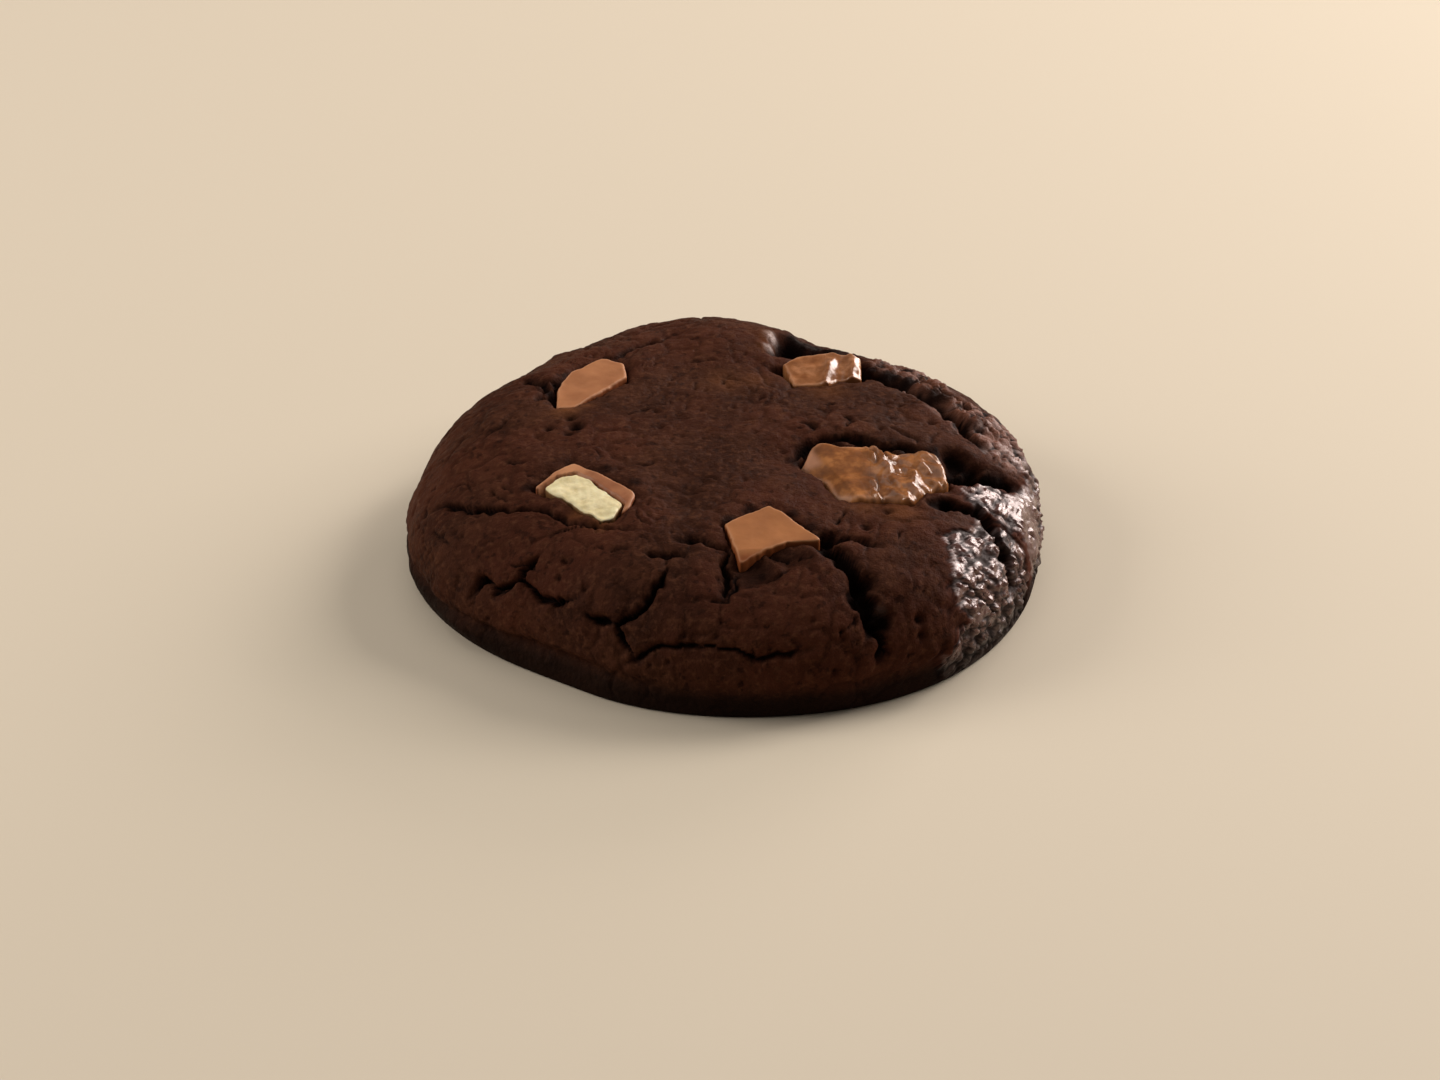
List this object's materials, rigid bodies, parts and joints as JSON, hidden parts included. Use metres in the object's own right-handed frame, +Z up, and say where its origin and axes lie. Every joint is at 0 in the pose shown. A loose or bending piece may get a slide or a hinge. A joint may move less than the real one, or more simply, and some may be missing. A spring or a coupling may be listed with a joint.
{
  "type": "chocolate chunk cookie",
  "caption": "Thick soft dark chocolate cookie, round with a domed rim and a cracked top, with broken milk chocolate chunks and a cream-filled piece baked into it.",
  "frame": {"origin": "centre of the bounding box in plan, at the underside of the cookie", "axes": "+Z up, out of the cookie's top; the side nearest the viewer in the picture faces -Y and its right-hand side +X"},
  "size_m": [0.0958, 0.0968, 0.0217],
  "materials": {
    "dough": "dark baked cocoa dough, satin, with a glossy crust at one side of the rim",
    "milk_chocolate": "satin milk chocolate",
    "melted_chocolate": "golden brown milk chocolate, melted and set, glossy",
    "filled_shell": "satin milk chocolate shell",
    "cream": "matte pale cream filling"
  },
  "bodies": {
    "root": {"dough": "dough", "chunk_back_left": "milk_chocolate", "chunk_front": "milk_chocolate", "chunk_right": "melted_chocolate", "chunk_back_right": "melted_chocolate", "filled_chunk_shell": "filled_shell", "filled_chunk_cream": "cream"}
  },
  "joints": []
}
